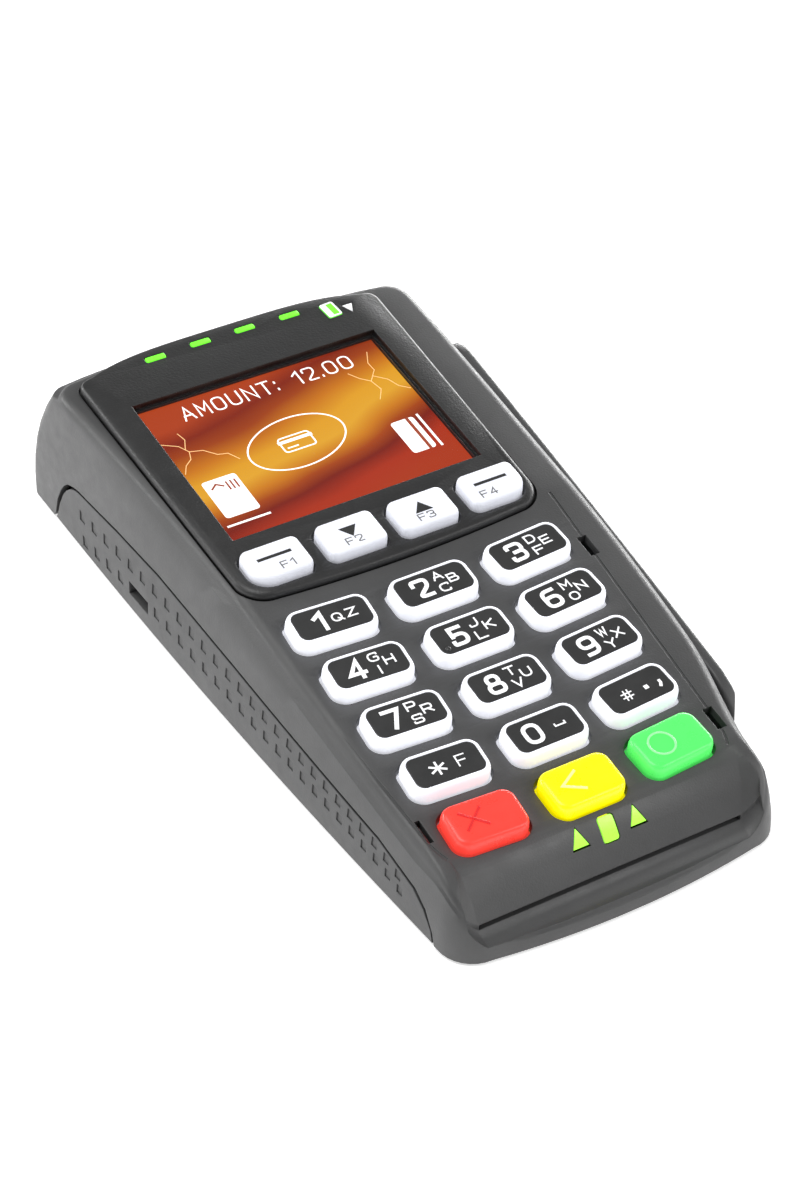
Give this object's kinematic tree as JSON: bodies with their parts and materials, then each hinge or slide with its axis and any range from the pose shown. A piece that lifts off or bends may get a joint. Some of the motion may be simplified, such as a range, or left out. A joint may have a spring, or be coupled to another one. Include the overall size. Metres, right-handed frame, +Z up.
{
  "type": "card payment terminal",
  "caption": "Counter-top card payment terminal with a colour display, raised keypad, front chip-card slot and side magnetic-stripe rail.",
  "frame": {"origin": "middle of the underside, on the surface that the feet rest on", "axes": "+Z up, -Y towards the customer and the chip-card slot, +X towards the swipe rail"},
  "size_m": [0.0844, 0.167, 0.0357],
  "materials": {
    "housing_upper": "fine spark-eroded texture on dark grey ABS, soft sheen",
    "housing_lower": "dark grey ABS with moulded grip dashes on the sides",
    "bezel": "very dark grey, smooth satin top with a grainy edge",
    "window_glass": "clear, polished",
    "screen": null,
    "key_white": "translucent white key, lit from below, dark label",
    "key_red": "translucent red, lit from below",
    "key_yellow": "translucent yellow, lit from below",
    "key_green": "translucent green, lit from below",
    "light_green": "clear green light guide",
    "marker_white": "white print",
    "silicone": "translucent silicone",
    "circuit_board": "green solder mask",
    "copper": "plated copper",
    "steel": "stamped steel",
    "black_resin": "black moulded resin",
    "rubber_foot": "soft black rubber"
  },
  "bodies": {
    "terminal": {"top_housing": "housing_upper", "bottom_housing": "housing_lower", "swipe_rail": "housing_upper", "display_bezel": "bezel", "display_window": "window_glass", "lcd_panel": "screen", "lcd_frame": "steel", "antenna_coil": "copper", "swipe_arrow": "marker_white", "keypad_membrane": "silicone", "keypad_board": "circuit_board", "main_board": "circuit_board", "security_shield": "steel", "buzzer": "black_resin", "backup_battery": "steel", "sam_socket": "black_resin", "chip_reader_frame": "black_resin", "chip_contact_block": "copper", "connector_socket": "black_resin", "service_cover": "housing_lower", "service_cover_screw": "steel", "foot_rear_left": "rubber_foot", "foot_rear_right": "rubber_foot", "foot_front_left": "rubber_foot", "foot_front_right": "rubber_foot", "screw_rear_left": "steel", "screw_rear_right": "steel", "screw_front_left": "steel", "screw_front_right": "steel", "contactless_light_1": "light_green", "contactless_light_2": "light_green", "contactless_light_3": "light_green", "contactless_light_4": "light_green", "swipe_indicator": "light_green", "card_indicator": "light_green", "card_arrow_left": "light_green", "card_arrow_right": "light_green", "mag_head_spring": "steel"},
    "key_1_cap": {"key_1": "key_white"},
    "key_2_cap": {"key_2": "key_white"},
    "key_3_cap": {"key_3": "key_white"},
    "key_4_cap": {"key_4": "key_white"},
    "key_5_cap": {"key_5": "key_white"},
    "key_6_cap": {"key_6": "key_white"},
    "key_7_cap": {"key_7": "key_white"},
    "key_8_cap": {"key_8": "key_white"},
    "key_9_cap": {"key_9": "key_white"},
    "key_star_cap": {"key_star": "key_white"},
    "key_0_cap": {"key_0": "key_white"},
    "key_hash_cap": {"key_hash": "key_white"},
    "key_cancel_cap": {"key_cancel": "key_red"},
    "key_clear_cap": {"key_clear": "key_yellow"},
    "key_enter_cap": {"key_enter": "key_green"},
    "key_f1_cap": {"key_f1": "key_white"},
    "key_f2_cap": {"key_f2": "key_white"},
    "key_f3_cap": {"key_f3": "key_white"},
    "key_f4_cap": {"key_f4": "key_white"},
    "read_head": {"mag_head": "steel"}
  },
  "joints": [
    {"name": "key_1_press", "type": "slide", "parent": "terminal", "child": "key_1_cap", "axis": [0, 0.1564, -0.9877], "range_m": [0, 0.001], "stiffness_N_per_m": 400, "springref_m": -0.0008},
    {"name": "key_2_press", "type": "slide", "parent": "terminal", "child": "key_2_cap", "axis": [0, 0.1564, -0.9877], "range_m": [0, 0.001], "stiffness_N_per_m": 400, "springref_m": -0.0008},
    {"name": "key_3_press", "type": "slide", "parent": "terminal", "child": "key_3_cap", "axis": [0, 0.1564, -0.9877], "range_m": [0, 0.001], "stiffness_N_per_m": 400, "springref_m": -0.0008},
    {"name": "key_4_press", "type": "slide", "parent": "terminal", "child": "key_4_cap", "axis": [0, 0.1564, -0.9877], "range_m": [0, 0.001], "stiffness_N_per_m": 400, "springref_m": -0.0008},
    {"name": "key_5_press", "type": "slide", "parent": "terminal", "child": "key_5_cap", "axis": [0, 0.1564, -0.9877], "range_m": [0, 0.001], "stiffness_N_per_m": 400, "springref_m": -0.0008},
    {"name": "key_6_press", "type": "slide", "parent": "terminal", "child": "key_6_cap", "axis": [0, 0.1564, -0.9877], "range_m": [0, 0.001], "stiffness_N_per_m": 400, "springref_m": -0.0008},
    {"name": "key_7_press", "type": "slide", "parent": "terminal", "child": "key_7_cap", "axis": [0, 0.1564, -0.9877], "range_m": [0, 0.001], "stiffness_N_per_m": 400, "springref_m": -0.0008},
    {"name": "key_8_press", "type": "slide", "parent": "terminal", "child": "key_8_cap", "axis": [0, 0.1564, -0.9877], "range_m": [0, 0.001], "stiffness_N_per_m": 400, "springref_m": -0.0008},
    {"name": "key_9_press", "type": "slide", "parent": "terminal", "child": "key_9_cap", "axis": [0, 0.1564, -0.9877], "range_m": [0, 0.001], "stiffness_N_per_m": 400, "springref_m": -0.0008},
    {"name": "key_star_press", "type": "slide", "parent": "terminal", "child": "key_star_cap", "axis": [0, 0.1564, -0.9877], "range_m": [0, 0.001], "stiffness_N_per_m": 400, "springref_m": -0.0008},
    {"name": "key_0_press", "type": "slide", "parent": "terminal", "child": "key_0_cap", "axis": [0, 0.1564, -0.9877], "range_m": [0, 0.001], "stiffness_N_per_m": 400, "springref_m": -0.0008},
    {"name": "key_hash_press", "type": "slide", "parent": "terminal", "child": "key_hash_cap", "axis": [0, 0.1564, -0.9877], "range_m": [0, 0.001], "stiffness_N_per_m": 400, "springref_m": -0.0008},
    {"name": "key_cancel_press", "type": "slide", "parent": "terminal", "child": "key_cancel_cap", "axis": [0, 0.1564, -0.9877], "range_m": [0, 0.001], "stiffness_N_per_m": 400, "springref_m": -0.0008},
    {"name": "key_clear_press", "type": "slide", "parent": "terminal", "child": "key_clear_cap", "axis": [0, 0.1564, -0.9877], "range_m": [0, 0.001], "stiffness_N_per_m": 400, "springref_m": -0.0008},
    {"name": "key_enter_press", "type": "slide", "parent": "terminal", "child": "key_enter_cap", "axis": [0, 0.1564, -0.9877], "range_m": [0, 0.001], "stiffness_N_per_m": 400, "springref_m": -0.0008},
    {"name": "key_f1_press", "type": "slide", "parent": "terminal", "child": "key_f1_cap", "axis": [0, 0.1149, -0.9934], "range_m": [0, 0.001], "stiffness_N_per_m": 400, "springref_m": -0.0008},
    {"name": "key_f2_press", "type": "slide", "parent": "terminal", "child": "key_f2_cap", "axis": [0, 0.1149, -0.9934], "range_m": [0, 0.001], "stiffness_N_per_m": 400, "springref_m": -0.0008},
    {"name": "key_f3_press", "type": "slide", "parent": "terminal", "child": "key_f3_cap", "axis": [0, 0.1149, -0.9934], "range_m": [0, 0.001], "stiffness_N_per_m": 400, "springref_m": -0.0008},
    {"name": "key_f4_press", "type": "slide", "parent": "terminal", "child": "key_f4_cap", "axis": [0, 0.1149, -0.9934], "range_m": [0, 0.001], "stiffness_N_per_m": 400, "springref_m": -0.0008},
    {"name": "read_head_float", "type": "slide", "parent": "terminal", "child": "read_head", "axis": [-1, 0, 0], "range_m": [0, 0.0008], "stiffness_N_per_m": 500, "springref_m": -0.0004}
  ]
}
